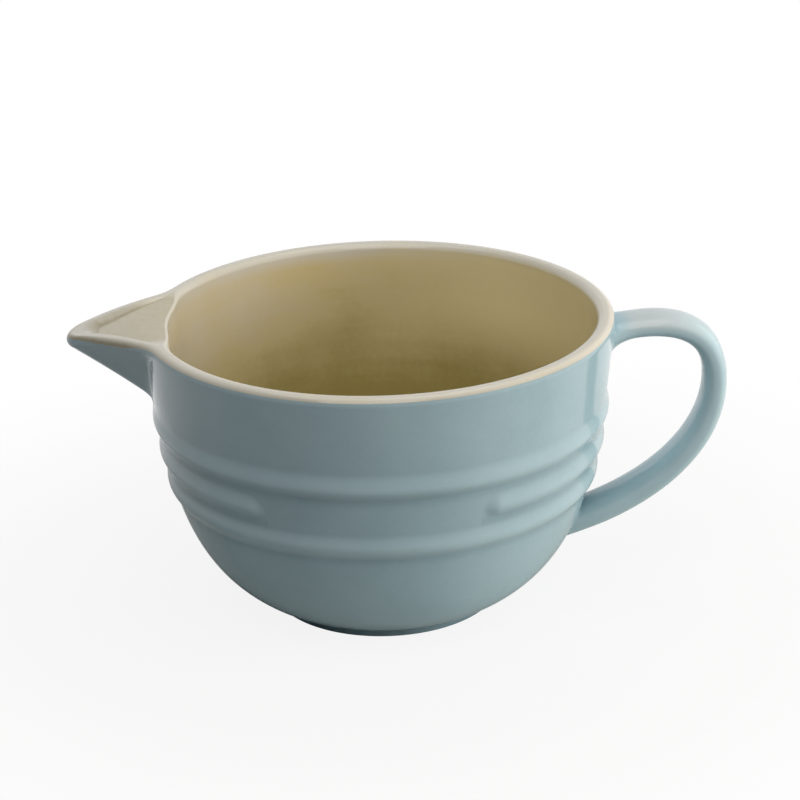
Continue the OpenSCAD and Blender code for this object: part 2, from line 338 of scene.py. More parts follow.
    def stand_out(self, a: np.ndarray, reach: np.ndarray, share: np.ndarray | float = 1.0) -> np.ndarray:
        """How far the spout's outline stands out of the rim.

        The shoulder at its sides is soft at the lip and a crisp crease below it. The keel stays soft.

        Args:
            a: Angles from the spout.
            reach: How far the beak stands out of the rim.
            share: Height on the spout, from 0 at the keel's end to 1 at the lip.

        Returns:
            Distances from the rim's circle.
        """
        out = self.beak_r(a, reach) - self.rim_r
        keel = smooth_step(self.keel_half, self.keel_half / 3, np.abs(a))
        softness = np.maximum(share**self.crease_power, keel)
        blend = self.crease_blend + (self.beak_blend - self.crease_blend) * softness
        soft = np.maximum(out, 0.0) + np.maximum(blend - np.abs(out), 0.0) ** 2 / (4 * blend)
        return np.where(np.abs(a) < self.spout_half, soft, 0.0)

    def jut(self, a: np.ndarray) -> np.ndarray:
        """Share of the spout's reach at an angle."""
        return self.stand_out(a, self.spout_reach) / self.spout_reach

    def lip_r(self, a: np.ndarray) -> np.ndarray:
        """Radius of the rim's outer edge, spout and all."""
        return self.rim_r + self.stand_out(a, self.spout_reach)

    def lip_z(self, a: np.ndarray) -> np.ndarray:
        """Height of the rim, which drops towards the spout's tip."""
        return self.rim_h - self.lip_drop * self.jut(a) ** self.lip_bow


@dataclass
class Grid:
    """A sheet of points in rows and columns, with values for its glaze at each point."""

    points: np.ndarray
    traits: dict[Trait, np.ndarray] = field(default_factory=dict)

    def normals(self, flip: bool) -> np.ndarray:
        """Unit normals of a sheet whose columns close into a ring.

        Args:
            flip: True where the sheet's other side faces out.

        Returns:
            One normal a point.
        """
        down = np.gradient(self.points, axis=0)
        ring = np.roll(self.points, -1, axis=1) - np.roll(self.points, 1, axis=1)
        normal = np.cross(ring, down)
        normal /= np.maximum(np.linalg.norm(normal, axis=2, keepdims=True), LEAST_NORMAL)
        return -normal if flip else normal


def ring_faces(
    rows: int, cols: int, start: int, flip: bool, close_rows: bool = False
) -> list[tuple[int, ...]]:
    """Faces of a sheet whose columns close into a ring.

    Args:
        rows: Number of rows.
        cols: Number of columns.
        start: Number of the sheet's first point.
        flip: Turns the faces over.
        close_rows: Joins the last row to the first one.

    Returns:
        Four point numbers a face.
    """
    last = rows if close_rows else rows - 1
    i = np.repeat(np.arange(last), cols)
    j = np.tile(np.arange(cols), last)
    right = (j + 1) % cols
    below = (i + 1) % rows
    corners = [i * cols + j, i * cols + right, below * cols + right, below * cols + j]
    if flip:
        corners.reverse()
    return [tuple(face) for face in (np.stack(corners, axis=1) + start).tolist()]


def make_piece(
    name: str,
    points: np.ndarray,
    faces: list[tuple[int, ...]],
    traits: dict[Trait, np.ndarray],
    material: bpy.types.Material,
    sharp: float = 48.0,
) -> bpy.types.Object:
    """Makes a mesh piece in metres, smooth but for its sharp edges.

    Args:
        name: Name of the piece.
        points: Points in millimetres, one a row.
        faces: Point numbers of each face.
        traits: Values at the points for the glaze.
        material: Finish of the piece.
        sharp: Angle in degrees above which an edge stays sharp.

    Returns:
        The new object.
    """
    mesh = bpy.data.meshes.new(name)
    mesh.from_pydata((points * MM).tolist(), [], faces)
    for trait, values in traits.items():
        layer = mesh.attributes.new(trait.value, "FLOAT", "POINT")
        layer.data.foreach_set("value", np.ascontiguousarray(values, np.float32).ravel())
    mesh.polygons.foreach_set("use_smooth", [True] * len(mesh.polygons))
    mesh.set_sharp_from_angle(angle=math.radians(sharp))
    mesh.materials.append(material)
    mesh.validate()
    piece = bpy.data.objects.new(name, mesh)
    bpy.context.scene.collection.objects.link(piece)
    return piece


def make_coat(
    name: str,
    grid: Grid,
    thickness: float,
    flip: bool,
    capped: bool,
    material: bpy.types.Material,
    sharp: float = 75.0,
) -> bpy.types.Object:
    """Makes a closed coat of even thickness behind a sheet.

    Args:
        name: Name of the piece.
        grid: Outer sheet, whose columns close into a ring.
        thickness: Thickness of the coat in millimetres.
        flip: True where the sheet's other side faces out.
        capped: True where the last row closes to a middle point.
        material: Finish of the coat.
        sharp: Angle in degrees above which an edge stays sharp.

    Returns:
        The new object.
    """
    rows, cols, _ = grid.points.shape
    count = rows * cols
    back = grid.points - grid.normals(flip) * thickness
    points = np.concatenate([grid.points.reshape(-1, 3), back.reshape(-1, 3)])
    faces = ring_faces(rows, cols, 0, flip) + ring_faces(rows, cols, count, not flip)
    traits = {t: np.concatenate([v.ravel(), v.ravel()]) for t, v in grid.traits.items()}
    edges = [(0, flip)]
    if capped:
        middle = [sheet[-1].mean(axis=0) for sheet in (grid.points, back)]
        points = np.concatenate([points, middle])
        for side, first in enumerate((count - cols, 2 * count - cols)):
            for j in range(cols):
                face = (first + j, first + (j + 1) % cols, 2 * count + side)
                faces.append(face if bool(side) == flip else face[::-1])
        last = slice(count - 1, count)
        traits = {t: np.concatenate([v, v[last], v[last]]) for t, v in traits.items()}
    else:
        edges.append((count - cols, not flip))
    for first, turned in edges:
        for j in range(cols):
            k = (j + 1) % cols
            face = (first + j, first + count + j, first + count + k, first + k)
            faces.append(face[::-1] if turned else face)
    return make_piece(name, points, faces, traits, material, sharp)


@dataclass(frozen=True)
class Glaze:
    """A gloss glaze on stoneware, whose colour follows how deep it lies.

    Its colours run from thin glaze to the darkest one, which is painted shade. The pale one is painted light
    where a mesh asks for it, and the clay shows where the glaze has run off an edge. The shares say how far
    each pattern shifts the depth.
    """

    name: str
    # The pale colour is painted light: a painted highlight on the handle and painted light in the lining.
    pale: str
    thin: str
    even: str
    pooled: str
    # The darkest colour is painted shade, at the foot and towards the bowl's bottom.
    painted_shade: str
    clay: str
    roughness: float
    band_share: float
    cloud_mm: float
    mottle_mm: float
    swim_mm: float
    ior: float = 1.5
    cloud_share: float = 0.45
    mottle_share: float = 0.16
    band_mm: tuple[float, float, float] = (90.0, 90.0, 5.0)
    full_depth: float = 1.5
    broken: tuple[float, float] = (0.4, 0.5)
    cloud_span: tuple[float, float] = (0.3, 0.7)
    gloss_swing: float = 0.03
    swim_strength: float = 0.25
    swim_height_mm: float = 0.6

    def material(self) -> bpy.types.Material:
        """Builds the glaze's nodes.

        Returns:
            The material.
        """
        material = new_material(self.name)
        tree = material.node_tree
        place = add_node(tree, "ShaderNodeTexCoord").outputs["Object"]
        noises = []
        for size, detail in ((self.cloud_mm, 3.0), (self.mottle_mm, 2.0), (self.swim_mm, 1.0)):
            inputs = {"Vector": place, "Scale": 1 / (size * MM), "Detail": detail}
            noises.append(add_node(tree, "ShaderNodeTexNoise", inputs).outputs["Fac"])
        cloud, mottle, swim = noises
        colour = self.colour(tree, place, cloud, mottle)
        swing = {"To Min": self.roughness - self.gloss_swing, "To Max": self.roughness + self.gloss_swing}
        low, high = self.cloud_span
        gloss = add_node(
            tree, "ShaderNodeMapRange", {"Value": cloud, "From Min": low, "From Max": high, **swing}
        ).outputs[0]
        bump = add_node(
            tree,
            "ShaderNodeBump",
            {"Strength": self.swim_strength, "Distance": self.swim_height_mm * MM, "Height": swim},
        ).outputs["Normal"]
        shader = add_node(
            tree,
            "ShaderNodeBsdfPrincipled",
            {"Base Color": colour, "Roughness": gloss, "IOR": self.ior, "Normal": bump},
        )
        add_node(tree, "ShaderNodeOutputMaterial", {"Surface": shader.outputs[0]})
        return material

    def colour(
        self,
        tree: bpy.types.NodeTree,
        place: bpy.types.NodeSocket,
        cloud: bpy.types.NodeSocket,
        mottle: bpy.types.NodeSocket,
    ) -> bpy.types.NodeSocket:
        """Adds the nodes that turn the glaze's depth and painted shade, its painted light and its bare edge
        into its colour.

        Args:
            tree: Node tree of the material.
            place: Places on the piece.
            cloud: Broad, soft pattern.
            mottle: Fine pattern.

        Returns:
            The colour.
        """
        carried = [add_node(tree, "ShaderNodeAttribute", attribute_name=trait.value) for trait in Trait]
        depth, edge, light = (node.outputs["Fac"] for node in carried)
        flat_scale = tuple(1 / (size * MM) for size in self.band_mm)
        flat = add_node(tree, "ShaderNodeMapping", {"Vector": place, "Scale": flat_scale}).outputs[0]
        level = {"Vector": flat, "Scale": 1.0, "Detail": 2.0}
        band = add_node(tree, "ShaderNodeTexNoise", level).outputs["Fac"]
        shares = (self.cloud_share, self.mottle_share, self.band_share)
        for pattern, share in zip((cloud, mottle, band), shares):
            centred = add_node(tree, "ShaderNodeMath", {0: pattern, 1: 0.5}, operation="SUBTRACT").outputs[0]
            depth = add_node(
                tree, "ShaderNodeMath", {0: centred, 1: share, 2: depth}, operation="MULTIPLY_ADD"
            ).outputs[0]
        ramp_in = add_node(tree, "ShaderNodeMapRange", {"Value": depth, "From Max": self.full_depth})
        ramp = add_node(tree, "ShaderNodeValToRGB", {0: ramp_in.outputs[0]})
        colours = (self.thin, self.even, self.pooled, self.painted_shade)
        while len(ramp.color_ramp.elements) < len(colours):
            ramp.color_ramp.elements.new(0.5)
        for i, (element, hex_code) in enumerate(zip(ramp.color_ramp.elements, colours)):
            element.position = i / (len(colours) - 1)
            element.color = linear(hex_code)
        gain, least = self.broken
        broken = add_node(
            tree, "ShaderNodeMath", {0: mottle, 1: gain, 2: least}, operation="MULTIPLY_ADD"
        ).outputs[0]
        bare = add_node(
            tree, "ShaderNodeMath", {0: edge, 1: broken}, operation="MULTIPLY", use_clamp=True
        ).outputs[0]
        colour = ramp.outputs[0]
        # The first mix lays on the pale colour, which is painted light; the second lays on the clay where the
        # glaze has run off.
        for share, hex_code in ((light, self.pale), (bare, self.clay)):
            blend = {0: share, MIX_FIRST: colour, MIX_SECOND: linear(hex_code)}
            colour = add_node(tree, "ShaderNodeMix", blend, data_type="RGBA").outputs[MIX_RESULT]
        return colour


@dataclass(frozen=True)
class BlueGlaze(Glaze):
    """Glossy stoneware glaze in a pale grey blue, dipped and fired over moulded ribs.

    It runs thin and pale over the crests, pools deeper in the grooves, and lets the tan clay through where
    it ends at the rim. Its darkest colour is painted shade at the foot, and its palest is a painted highlight
    on the handle's top. A gloss glaze is a glass, so it has an even, sharp sheen with a faint swim in it.
    """

    name: str = "blue_stoneware_glaze"
    # Painted highlight colour, laid on the top of the handle's crown.
    pale: str = "CDD0CF"
    thin: str = "ADC6CE"
    even: str = "9BB6C0"
    pooled: str = "849FAA"
    # Painted shade colour, reached at the foot under the belly.
    painted_shade: str = "566A72"
    clay: str = "8E7F6E"
    roughness: float = 0.1
    band_share: float = 0.06
    cloud_mm: float = 26.0
    mottle_mm: float = 2.2
    swim_mm: float = 14.0


@dataclass(frozen=True)
class CreamGlaze(Glaze):
    """Glossy cream lining glaze, poured into the jug and wiped level at the rim.

    It is warm and even with a soft cloudiness and faint level bands, and a little browner where it thins at
    the rim's outer edge. Its palest colour is painted light on the upper inside wall on the handle's side,
    and its darkest is painted shade towards the bowl's bottom.
    """

    name: str = "cream_stoneware_glaze"
    # Painted light colour for the upper inside wall on the handle's side.
    pale: str = "F2E3B4"
    thin: str = "D0CABC"
    even: str = "D1C193"
    pooled: str = "A5975F"
    # Painted shade colour, reached towards the bowl's bottom.
    painted_shade: str = "92824C"
    clay: str = "9C9277"
    roughness: float = 0.12
    band_share: float = 0.22
    cloud_mm: float = 30.0
    mottle_mm: float = 2.6
    swim_mm: float = 16.0


@dataclass(frozen=True)
class BareStoneware:
    """Unglazed fired stoneware, turned and sponged: a matt buff clay with fine grit and brown specks."""

    body: str = "CDBEA4"
    grit: str = "B49F82"
    speck: str = "7A654C"
    roughness: float = 0.82
    ior: float = 1.45
    grit_mm: float = 0.9
    grit_strength: float = 0.35
    grit_height_mm: float = 0.2
    speck_mm: float = 3.2
    speck_edge: tuple[float, float] = (0.10, 0.16)

    def material(self) -> bpy.types.Material:
        """Builds the clay's nodes.

        Returns:
            The material.
        """
        material = new_material("bare_stoneware_clay")
        tree = material.node_tree
        place = add_node(tree, "ShaderNodeTexCoord").outputs["Object"]
        grain = add_node(
            tree, "ShaderNodeTexNoise", {"Vector": place, "Scale": 1 / (self.grit_mm * MM), "Detail": 4.0}
        ).outputs["Fac"]
        cell = add_node(
            tree, "ShaderNodeTexVoronoi", {"Vector": place, "Scale": 1 / (self.speck_mm * MM)}
        ).outputs["Distance"]
        start, end = self.speck_edge
        ease = {"From Min": start, "From Max": end, "To Min": 1.0, "To Max": 0.0}
        speck = add_node(tree, "ShaderNodeMapRange", {"Value": cell, **ease}).outputs[0]
        colour = linear(self.body)
        for share, hex_code in ((grain, self.grit), (speck, self.speck)):
            blend = {0: share, MIX_FIRST: colour, MIX_SECOND: linear(hex_code)}
            colour = add_node(tree, "ShaderNodeMix", blend, data_type="RGBA").outputs[MIX_RESULT]
        bump = add_node(
            tree,
            "ShaderNodeBump",
            {"Strength": self.grit_strength, "Distance": self.grit_height_mm * MM, "Height": grain},
        ).outputs["Normal"]
        shader = add_node(
            tree,
            "ShaderNodeBsdfPrincipled",
            {"Base Color": colour, "Roughness": self.roughness, "IOR": self.ior, "Normal": bump},
        )
        add_node(tree, "ShaderNodeOutputMaterial", {"Surface": shader.outputs[0]})
        return material


@dataclass(frozen=True)
class OutsideGlazing:
    """How deep the blue coat lies on the bowl, with painted shade at the foot: depths, and the lengths in
    millimetres that they fade over.
    """

    plain: float = 0.5
    groove: float = 0.25
    groove_w: float = 2.2
    crest: float = 0.25
    # Painted shade: a dark line where the foot meets the belly and a darker foot, for the shadow under the
    # belly.
    foot_gap_shade: float = 0.5
    foot_gap_shade_h: float = 1.0
    foot: float = 1.2
    foot_shade_start: float = 0.6
    foot_shade_full: float = 0.4
    bare: float = 0.3
    bare_w: float = 1.2


@dataclass(frozen=True)
class InsideGlazing:
    """How deep the cream lining lies with painted shade towards the bottom, where painted light lies on its
    upper wall, and where the clay shows through it.

    Pairs of depths below the rim are in millimetres and pairs of angles in degrees. Each pair gives where a
    change starts and where it is full. Shares of the spout's reach and of the rim's height have no unit.
    """

    plain: float = 0.5
    plain_depths: tuple[float, float] = (2.0, 9.0)
    # Painted shade: the low depth darkens the lining towards the bowl's bottom.
    low: float = 0.85
    low_shares: tuple[float, float] = (0.85, 0.25)
    spout_thin: float = 0.3
    spout_angles: tuple[float, float] = (80.0, 25.0)
    # Painted light: a paler band on the upper inside wall on the handle's side.
    painted_light_depths: tuple[float, float] = (0.8, 3.5)
    painted_light_ends: tuple[float, float] = (55.0, 20.0)
    painted_light_angles: tuple[float, float] = (78.0, 132.0)
    wall_clear: float = 1.0
    rim_bare: float = 0.45
    rim_bare_w: float = 1.92
    lip_bare: float = 1.3
    lip_bare_w: float = 1.68
    lip_shares: tuple[float, float] = (0.02, 0.3)
    # Share of clay colour down the trough's far slope, fuller towards its valley line.
    slope_tan: float = 1.6
    slope_shares: tuple[float, float] = (0.05, 0.6)
    trough: float = 0.3
    trough_bare: float = 0.6


@dataclass
class Bowl:
    """The bowl with its spout: blue coat, cream lining, foot ring and base."""

    form: JugForm
    outer_glazing: OutsideGlazing = OutsideGlazing()
    inner_glazing: InsideGlazing = InsideGlazing()
    plain_step: float = 1.5
    spout_step: float = 0.25
    spout_margin: float = 2.0
    rib_step: float = 0.4
    rib_end_margins: tuple[float, float] = (4.0, 5.0)
    lip_rows: int = 12
    under_rows: int = 64
    rib_rows: int = 84
    belly_rows: int = 56
    side_rows: int = 14
    top_rows: int = 22
    edge_rows: int = 10
    inner_rows: int = 46
    floor_rows: int = 16
    floor_end: float = 0.985
    ribs_clear: float = 1.0
    trough_near: float = 0.8
    trough_far: float = 2.4
    trough_full: float = 0.6
    trough_edge: float = 3.3
    trough_side: float = 4.7
    trough_side_least: float = 0.4
    trough_side_shares: tuple[float, float] = (0.1, 0.8)
    trough_wide: float = 14.0
    trough_end: float = 21.0
    trough_floor_least: float = 0.3
    valley_step: float = 0.012
    sill: float = 3.2
    sill_round: float = 1.3
    sill_depth: float = 8.0
    sill_angles: tuple[float, float] = (8.0, 26.0)
    spout_coat: float = 32.0
    spout_coat_start: tuple[float, float] = (0.0, 0.35)
    spout_coat_end: tuple[float, float] = (0.45, 1.0)
    tip_coat: float = 0.9
    hollow_w: float = 0.7
    hollow_h: float = 0.9
    hem_h: float = 0.75
    hem_low: float = 0.12
    hem_z: float = 0.1
    hem_in: float = 0.6
    ring_inset: float = 0.5
    ring_inner_round: float = 0.9
    ring_outer_round: tuple[float, float] = (0.7, 0.5)
    ring_lap: tuple[float, float] = (0.9, 0.4)
    ring_fillet: tuple[float, float] = (0.35, 0.25)
    base_lap: float = 3.0
    base_t: float = 3.5
    base_dome: float = 0.5
    base_middle: float = 0.4
    lining_sharp: float = 38.0

    @cached_property
    def angles(self) -> np.ndarray:
        """Angles of the columns, close together on the spout and at the middle rib's ends.

        Returns:
            Degrees from the spout, in rising order.
        """
        form = self.form
        spout = form.spout_half + self.spout_margin
        panel_side, rib_side = self.rib_end_margins
        left, right = form.panel_mid - form.panel_half, form.panel_mid + form.panel_half
        fine = [
            (-spout, spout, self.spout_step),
            (left - rib_side, left + panel_side, self.rib_step),
            (right - panel_side, right + rib_side, self.rib_step),
        ]
        plain = np.arange(-180.0, 180.0, self.plain_step)
        for low, high, _ in fine:
            plain = plain[(plain < low - self.plain_step / 2) | (plain > high + self.plain_step / 2)]
        parts = [plain] + [np.arange(low, high + HAIR, small) for low, high, small in fine]
        return np.sort(np.concatenate(parts))

    def placed(self, r: np.ndarray, z: np.ndarray) -> np.ndarray:
        """Points of the columns at radii and heights."""
        a = np.radians(self.angles)[None, :] * np.ones_like(r)
        return np.stack([-r * np.cos(a), r * np.sin(a), z * np.ones_like(r)], axis=2)

    @staticmethod
    def run_down(points: np.ndarray) -> np.ndarray:
        """Distance of each point from the first row, along its column."""
        step = np.linalg.norm(np.diff(points, axis=0), axis=2)
        return np.concatenate([np.zeros((1, points.shape[1])), np.cumsum(step, axis=0)])

    def coat_turn(self, a: np.ndarray) -> np.ndarray:
        """Place on the rim's rounding where the two coats meet, lower along the spout.

        Args:
            a: Angles from the spout.

        Returns:
            Degrees above level.
        """
        jut = self.form.jut(a)
        tip = self.tip_coat * smooth_step(*self.spout_coat_end, jut)
        return self.form.coat_line - self.spout_coat * smooth_step(*self.spout_coat_start, jut) * (1.0 - tip)

    def rim_rounding(self, a: np.ndarray, end: np.ndarray | float) -> tuple[np.ndarray, np.ndarray]:
        """Rows over the rim's rounding, from the line where the two coats meet.

        Args:
            a: Angles from the spout.
            end: Place on the rounding where the rows stop, in degrees above level.

        Returns:
            Radii and heights.
        """
        form = self.form
        start = self.coat_turn(a)
        turn = np.radians(start + (end - start) * np.linspace(0.0, 1.0, self.lip_rows)[:, None])
        r = form.lip_r(a) - form.rim_round + form.rim_round * np.cos(turn)
        return r, form.lip_z(a) - form.rim_round + form.rim_round * np.sin(turn)

    def under_spout(
        self, a: np.ndarray, lip_r: np.ndarray, lip_z: np.ndarray
    ) -> tuple[np.ndarray, np.ndarray]:
        """Rows from the lip down to the height where the spout's keel leaves the wall.

        Args:
            a: Angles from the spout.
            lip_r: Radii of the last row on the lip.
            lip_z: Heights of that row.

        Returns:
            Radii and heights.
        """
        form = self.form
        share = np.linspace(1.0, 0.0, self.under_rows)[1:, None]
        z = form.spout_z + (lip_z - form.spout_z) * share
        full = np.maximum(form.stand_out(a, form.spout_reach), HAIR)
        reach = (form.spout_reach + form.beak_blend) * share**form.under_bow - form.beak_blend
        stands = form.stand_out(a * np.ones_like(share), reach * np.ones_like(a), share)
        drawn = np.where(form.jut(a) > HAIR, stands / full, 0.0)
        return form.outer_r(z, a) + (lip_r - form.outer_r(lip_z, a)) * drawn, z

    def ribs_to_foot(self, a: np.ndarray) -> tuple[np.ndarray, np.ndarray]:
        """Rows over the ribs and the belly, and down the foot's outer side.

        Args:
            a: Angles from the spout.

        Returns:
            Radii and heights.
        """
        form = self.form
        ribs_end = form.rib_z - self.ribs_clear
        rib_z = np.linspace(form.spout_z, ribs_end, self.rib_rows)[1:, None] * np.ones_like(a)
        table = form.outer_table
        first = np.searchsorted(table[:, 1], ribs_end)
        last = np.searchsorted(table[:, 0], form.base_d / 2 + self.hollow_w)
        belly = table[np.linspace(first, last, self.belly_rows).astype(int)[1:]]
        rest = np.concatenate([belly, self.foot_side()])[:, :, None] * np.ones_like(a)
        return np.concatenate([form.outer_r(rib_z, a), rest[:, 0]]), np.concatenate([rib_z, rest[:, 1]])

    def foot_side(self) -> np.ndarray:
        """Profile of the glazed outer side of the foot.

        Returns:
            Radii and heights, from the hollow under the bowl to the foot's lower edge.
        """
        form = self.form
        table = form.outer_table
        start = table[np.searchsorted(table[:, 0], form.base_d / 2 + self.hollow_w)]
        first_leg = form.wall_curve[1] - form.wall_curve[0]
        corner = (form.foot_r, start[1] - (start[0] - form.foot_r) * first_leg[1] / first_leg[0])
        t = np.linspace(0.0, 1.0, 8)
        hollow = np.array([start, corner, (form.foot_r, corner[1] - self.hollow_h)])
        hem_end = (form.foot_r - self.hem_in, self.hem_z)
        hem = np.array([(form.foot_r, self.hem_h), (form.foot_r, self.hem_low), hem_end])
        return np.concatenate([bezier(hollow, t)[1:], bezier(hem, t)])

    def outside_pool(self, a: np.ndarray, z: np.ndarray) -> np.ndarray:
        """Depth of the blue coat: thin on the crests, deep in the grooves, and painted shade at the foot.

        Args:
            a: Angles from the spout.
            z: Heights.

        Returns:
            One depth a point.
        """
        form, glazing = self.form, self.outer_glazing
        off_panel = np.where(np.abs(a - form.panel_mid) < form.panel_half, 0.0, 1.0)
        groove = np.zeros_like(z)
        for i in range(form.rib_count):
            gap = (z - form.rib_z - i * form.rib_pitch) / glazing.groove_w
            kept = off_panel if i == form.rib_count // 2 else 1.0
            groove = np.maximum(groove, np.exp(-(gap**2)) * kept)
        # Painted shade: a dark line at the foot's top and a darker foot, for the shadow under the belly.
        foot_gap_shade = np.exp(-(((z - form.foot_h) / glazing.foot_gap_shade_h) ** 2))
        foot = smooth_step(form.foot_h + glazing.foot_shade_start, form.foot_h - glazing.foot_shade_full, z)
        pool_and_shade = glazing.plain + glazing.groove * groove + glazing.foot_gap_shade * foot_gap_shade
        pool_and_shade = pool_and_shade - glazing.crest * form.relief(z, a) / form.rib_relief
        return np.maximum(pool_and_shade, glazing.foot * foot)

    def outside(self) -> Grid:
        """Blue outside from the rim's coat line to under the foot.

        Returns:
            The sheet, with the glaze's depth and painted shade, and its bare edge.
        """
        a = self.angles[None, :]
        lip = self.rim_rounding(a, -self.form.lip_under * self.form.jut(a))
        under = self.under_spout(a, lip[0][-1:], lip[1][-1:])
        r, z = (np.concatenate(rows) for rows in zip(lip, under, self.ribs_to_foot(a)))
        points = self.placed(r, z)
        fade = smooth_step(0.0, self.outer_glazing.bare_w, self.run_down(points))
        edge = self.outer_glazing.bare * (1.0 - fade)
        return Grid(points, {Trait.POOL_AND_SHADE: self.outside_pool(a, z), Trait.EDGE: edge})

    def away_share(self, a: np.ndarray) -> np.ndarray:
        """Share of a radial step that leads straight away from the spout's lip."""
        return np.sin(np.radians(self.form.beak_angle + np.minimum(np.abs(a), self.form.spout_half)))

    def side_end(self, a: np.ndarray) -> np.ndarray:
        """Distance from the lip's outer edge to the valley line, which lies further in near the tip.

        Args:
            a: Angles from the spout.

        Returns:
            One distance an angle.
        """
        least = self.trough_side_least
        near_tip = smooth_step(*self.trough_side_shares, self.form.jut(a))
        return self.trough_edge + self.trough_side * (least + (1.0 - least) * near_tip)

    def side_place(self, a: np.ndarray, r: np.ndarray) -> np.ndarray:
        """Place on the trough's side: 0 at the lip, 1 at the valley line and beyond it."""
        clear = (self.form.lip_r(a) - r) * self.away_share(a)
        return np.clip((clear - self.trough_edge) / (self.side_end(a) - self.trough_edge), 0.0, 1.0)

    def trough_window(self, a: np.ndarray) -> np.ndarray:
        """Share of the trough at an angle: 1 in the middle of the spout, 0 beside it."""
        return 1.0 - smooth_step(self.trough_wide, self.trough_end, np.abs(a))

    def top_z(self, a: np.ndarray, r: np.ndarray) -> np.ndarray:
        """Height of the rim's top and of the spout's trough.

        Args:
            a: Angles from the spout.
            r: Radii.

        Returns:
            Heights, which drop towards the tip and sink between the spout's lips.
        """
        form = self.form
        out = np.clip((r + form.rim_round - form.rim_r) / form.spout_reach, 0.0, 1.0)
        far = smooth_step(form.bore_r, form.rim_r + form.spout_reach * self.trough_full, r)
        deep = self.trough_near + (self.trough_far - self.trough_near) * far
        sunk = (1.0 - np.cos(np.pi / 2 * self.side_place(a, r))) * self.trough_window(a)
        return form.rim_h - form.lip_drop * out**form.lip_bow - deep * sunk

    def sill_in(self, a: np.ndarray, z: np.ndarray) -> np.ndarray:
        """How far the inside stands in below the spout's trough.

        Args:
            a: Angles from the spout.
            z: Heights.

        Returns:
            Distances from the round wall.
        """
        form = self.form
        beside = 1.0 - smooth_step(*self.sill_angles, np.abs(a))
        return self.sill * beside * smooth_step(form.spout_z, form.rim_h - self.sill_depth, z)

    def bend_r(self, a: np.ndarray) -> np.ndarray:
        """Radius of the rounding from the top into the bowl, tighter at the spout's sill."""
        return self.form.rim_round + (self.sill_round - self.form.rim_round) * self.trough_window(a)

    def top_end(self, a: np.ndarray) -> np.ndarray:
        """Radius where the top ends and its rounding into the bowl starts."""
        return self.form.bore_r + self.bend_r(a) - self.sill_in(a, np.full_like(a, self.form.rim_h))

    def top_radii(self, a: np.ndarray) -> np.ndarray:
        """Radii of the rows down the trough's side to its valley line, and on along its floor to the bowl.

        Args:
            a: Angles from the spout.

        Returns:
            One row of radii for each row of points.
        """
        lip_r, end = self.form.lip_r(a), self.top_end(a)
        start = lip_r - self.form.rim_round
        least = end + self.trough_floor_least * (start - end)
        valley = np.maximum(lip_r - self.side_end(a) / self.away_share(a), least)
        side = start + (valley - start) * np.linspace(0.0, 1.0, self.side_rows)[1:, None]
        along = np.concatenate([[self.valley_step], np.linspace(0.0, 1.0, self.top_rows)[1:]])[:, None]
        return np.concatenate([side, valley + (end - valley) * along])

    def into_bowl(self, a: np.ndarray, sill_z: np.ndarray) -> tuple[np.ndarray, np.ndarray]:
        """Rows over the rounding into the bowl, down its wall and to the middle of its floor.

        Args:
            a: Angles from the spout.
            sill_z: Heights where the top ends.

        Returns:
            Radii and heights.
        """
        form, bend_r = self.form, self.bend_r(a)
        bend = np.radians(np.linspace(90.0, 180.0, self.edge_rows))[1:, None]
        bend_rows = (self.top_end(a) + bend_r * np.cos(bend), sill_z - bend_r + bend_r * np.sin(bend))
        start_z = sill_z - bend_r
        wall_z = start_z + (form.spout_z - start_z) * np.linspace(0.0, 1.0, self.inner_rows // 2)[1:, None]
        wall_r = form.inner_r(wall_z) - self.sill_in(a * np.ones_like(wall_z), wall_z)
        rest = self.floor_profile()[:, :, None] * np.ones_like(a)
        r = np.concatenate([bend_rows[0], wall_r, rest[:, 0]])
        return r, np.concatenate([bend_rows[1], wall_z, rest[:, 1]])

    def floor_profile(self) -> np.ndarray:
        """Profile of the inside below the spout, with a soft turn from the wall to the floor.

        Returns:
            Radii and heights, down to near the floor's middle.
        """
        form = self.form
        table = form.inner_table
        first = np.searchsorted(table[:, 1], form.spout_z)
        join = int(form.floor_join * (len(table) - 1))
        picks = np.linspace(first, join, self.inner_rows // 2).astype(int)[1:]
        floor_z = form.foot_h + form.floor_t
        way = table[join + 1] - table[join]
        flat_r = table[join][0] - (table[join][1] - floor_z) * way[0] / way[1]
        curve = np.array([table[join], (flat_r, floor_z), (0.0, floor_z)])
        floor = bezier(curve, np.linspace(0.0, self.floor_end, self.floor_rows))[1:]
        return np.concatenate([table[picks], floor])

    def inside_traits(self, r: np.ndarray, z: np.ndarray, points: np.ndarray) -> dict[Trait, np.ndarray]:
        """Depth with painted shade, bare edge and painted light of the cream lining.

        Args:
            r: Radii of the sheet's points.
            z: Heights of the points.
            points: The points.

        Returns:
            One value a point for each trait.
        """
        form, glazing = self.form, self.inner_glazing
        a = self.angles[None, :]
        jut, window = form.jut(a), self.trough_window(a)
        within = r < form.bore_r + glazing.wall_clear
        lip = smooth_step(*glazing.lip_shares, jut)
        fade = smooth_step(0.0, 1.0, self.run_down(points) / (glazing.rim_bare_w + glazing.lip_bare_w * lip))
        edge = (glazing.rim_bare + glazing.lip_bare * lip) * (1.0 - fade)
        below = form.below_rim(*glazing.plain_depths, z)
        low_start, low_full = (form.rim_h * share for share in glazing.low_shares)
        # The low term is painted shade: the lining darkens towards the bowl's bottom.
        pool_and_shade = glazing.plain * below * within + glazing.low * smooth_step(low_start, low_full, z)
        pool_and_shade = pool_and_shade - glazing.spout_thin * smooth_step(*glazing.spout_angles, np.abs(a)) * below
